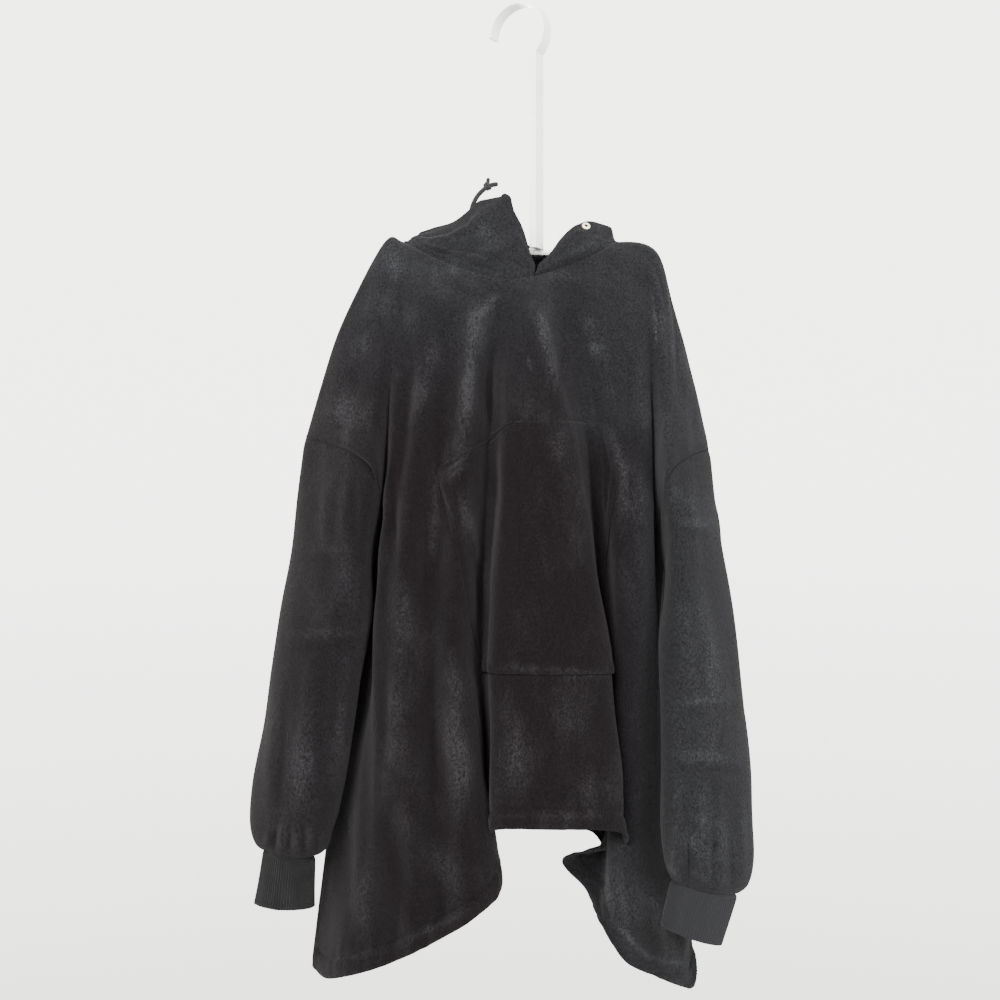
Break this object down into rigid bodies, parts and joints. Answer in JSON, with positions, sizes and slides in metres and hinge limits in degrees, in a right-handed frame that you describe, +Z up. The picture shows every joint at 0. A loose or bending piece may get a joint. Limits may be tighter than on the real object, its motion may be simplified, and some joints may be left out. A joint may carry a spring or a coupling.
{
  "type": "wearable blanket hoodie on a hanger",
  "caption": "Long hooded pullover of plush fleece with a front pouch pocket, dropped shoulders and ribbed cuffs, draped on a bar hanger with a flat hook.",
  "frame": {"origin": "the seat inside the top of the hanger's hook, where a rail holds it", "axes": "+Z up; +X to the right as seen from the garment's front; +Y away from the viewer, towards the garment's back"},
  "size_m": [0.6945, 0.2561, 1.381],
  "materials": {
    "fleece": "plush, brushed nap",
    "rib": "ribbed knit",
    "plastic": "semi-gloss",
    "eyelet": "pale, satin",
    "braid": "braided"
  },
  "bodies": {
    "root": {"front": "fleece", "back": "fleece", "sleeve_left": "fleece", "sleeve_right": "fleece", "cuff_left": "rib", "cuff_right": "rib", "hood_left": "fleece", "hood_right": "fleece", "pocket": "fleece", "hanger": "plastic", "eyelet_right": "eyelet", "eyelet_left": "eyelet", "drawstring": "braid", "drawstring_knot": "braid"}
  },
  "joints": []
}
